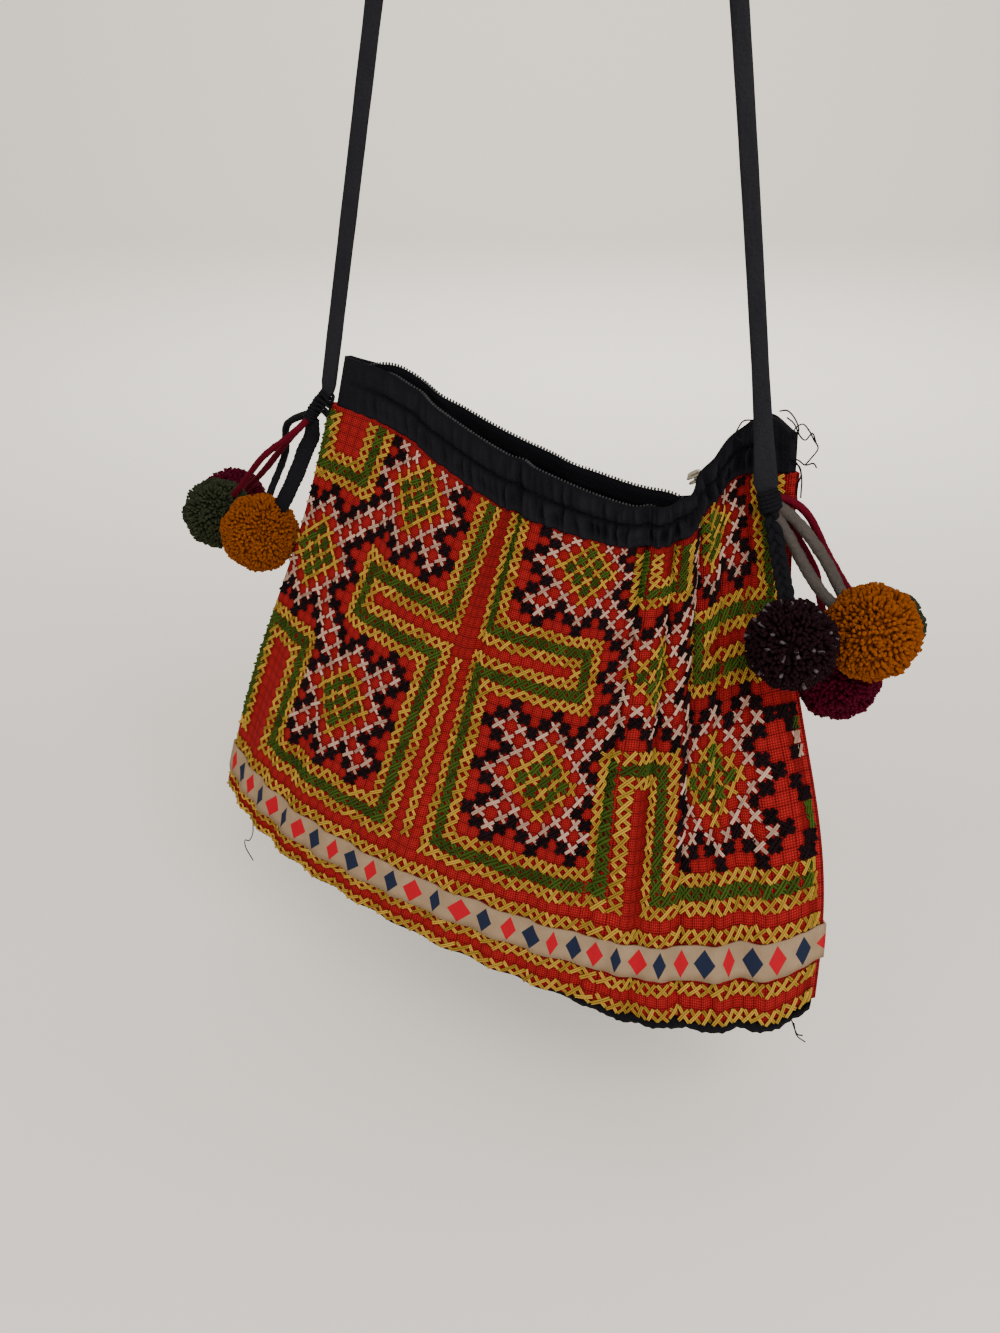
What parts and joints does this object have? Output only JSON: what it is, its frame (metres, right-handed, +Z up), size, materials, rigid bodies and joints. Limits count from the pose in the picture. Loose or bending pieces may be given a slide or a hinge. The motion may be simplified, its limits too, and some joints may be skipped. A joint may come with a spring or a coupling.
{
  "type": "embroidered crossbody bag",
  "caption": "Flared pouch of pleated cross-stitched cloth with an open zipped mouth, a long flat strap and yarn pompoms on cords at both top corners.",
  "frame": {"origin": "under side of the strap where it hangs over a hook, above the middle of the mouth", "axes": "+Z up, front panel towards -Y, +X to the right seen from the front"},
  "size_m": [0.3801, 0.1331, 0.6843],
  "materials": {
    "cloth": "even-weave cotton with cross-stitch",
    "black_cotton": "matt black cotton",
    "ribbon": "woven ribbon",
    "zip": "woven tape with a nylon coil",
    "slider": "worn plated metal",
    "crimson_cord": "soft fabric cord",
    "grey_cord": "soft fabric cord",
    "green_yarn": "cut yarn",
    "mustard_yarn": "cut yarn",
    "maroon_yarn": "cut yarn",
    "plum_yarn": "cut yarn with pale flecks"
  },
  "bodies": {
    "root": {"front_panel": "cloth", "back_panel": "cloth", "base_panel": "black_cotton", "hem_ribbon": "ribbon", "top_band": "black_cotton", "zip_front": "zip", "zip_back": "zip", "zip_slider": "slider", "strap": "black_cotton", "left_tie": "black_cotton", "right_tie": "black_cotton", "left_crimson_cord_a": "crimson_cord", "left_crimson_cord_b": "crimson_cord", "left_black_cord": "black_cotton", "left_black_tail": "black_cotton", "right_braid": "black_cotton", "right_grey_cord_a": "grey_cord", "right_grey_cord_b": "grey_cord", "right_crimson_cord_a": "crimson_cord", "right_crimson_cord_b": "crimson_cord", "pompom_left_green": "green_yarn", "pompom_left_mustard": "mustard_yarn", "pompom_left_maroon": "maroon_yarn", "pompom_right_plum": "plum_yarn", "pompom_right_mustard": "mustard_yarn", "pompom_right_maroon": "maroon_yarn", "pompom_right_green": "green_yarn"}
  },
  "joints": []
}
